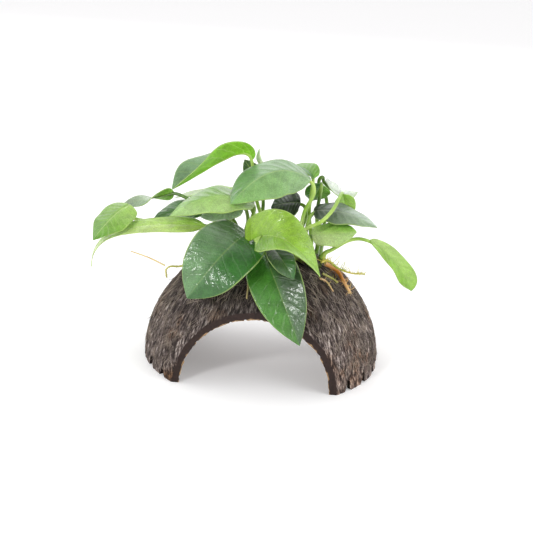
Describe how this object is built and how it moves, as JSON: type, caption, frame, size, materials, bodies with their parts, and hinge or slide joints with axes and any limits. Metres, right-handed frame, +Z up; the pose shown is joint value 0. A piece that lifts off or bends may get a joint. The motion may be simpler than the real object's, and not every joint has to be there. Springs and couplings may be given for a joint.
{
  "type": "anubias plant on a half coconut shell",
  "caption": "Anubias aquarium plant growing on a half coconut shell cave: broad leaves on stalks from a creeping rhizome, with roots over the shell.",
  "frame": {"origin": "on the floor, under the middle of the whole plant's box", "axes": "+Z up, -Y out of the cave's front opening, +X to the right seen from the front"},
  "size_m": [0.1624, 0.0894, 0.1089],
  "materials": {
    "shell": "matte",
    "rhizome": "satin",
    "dark_leaf": "gloss",
    "green_leaf": "gloss",
    "bright_leaf": "gloss",
    "pale_leaf": "gloss",
    "grey_leaf": "gloss",
    "stalk": "satin",
    "young_leaf": "satin",
    "root": "satin"
  },
  "bodies": {
    "root": {"coconut_shell": "shell", "rhizome": "rhizome", "leaf_front_left": "dark_leaf", "stalk_front_left": "stalk", "leaf_front_centre": "bright_leaf", "stalk_front_centre": "stalk", "leaf_hanging": "dark_leaf", "stalk_hanging": "stalk", "leaf_small_dark": "dark_leaf", "stalk_small_dark": "stalk", "leaf_top": "grey_leaf", "stalk_top": "stalk", "leaf_top_right": "bright_leaf", "stalk_top_right": "stalk", "leaf_behind_stems": "green_leaf", "stalk_behind_stems": "stalk", "leaf_right_back": "grey_leaf", "stalk_right_back": "stalk", "leaf_right_folded": "green_leaf", "stalk_right_folded": "stalk", "leaf_right_dark": "dark_leaf", "stalk_right_dark": "stalk", "leaf_right_pale": "green_leaf", "stalk_right_pale": "stalk", "leaf_right_hanging": "bright_leaf", "stalk_right_hanging": "stalk", "leaf_centre_dark": "dark_leaf", "stalk_centre_dark": "stalk", "leaf_left_pale": "pale_leaf", "stalk_left_pale": "stalk", "leaf_left_grey": "grey_leaf", "stalk_left_grey": "stalk", "leaf_left_narrow": "bright_leaf", "stalk_left_narrow": "stalk", "leaf_left_dark": "dark_leaf", "stalk_left_dark": "stalk", "leaf_left_edge": "grey_leaf", "stalk_left_edge": "stalk", "leaf_left_long": "bright_leaf", "stalk_left_long": "stalk", "leaf_far_left": "green_leaf", "stalk_far_left": "stalk", "leaf_arching": "bright_leaf", "stalk_arching": "stalk", "leaf_back_tip": "dark_leaf", "stalk_back_tip": "stalk", "young_leaf": "young_leaf", "root_left_bent": "root", "root_left_loose": "root", "root_centre": "root", "root_right_runner": "root", "root_right_thick": "root", "root_right_olive": "root", "root_right_thin": "root"}
  },
  "joints": []
}
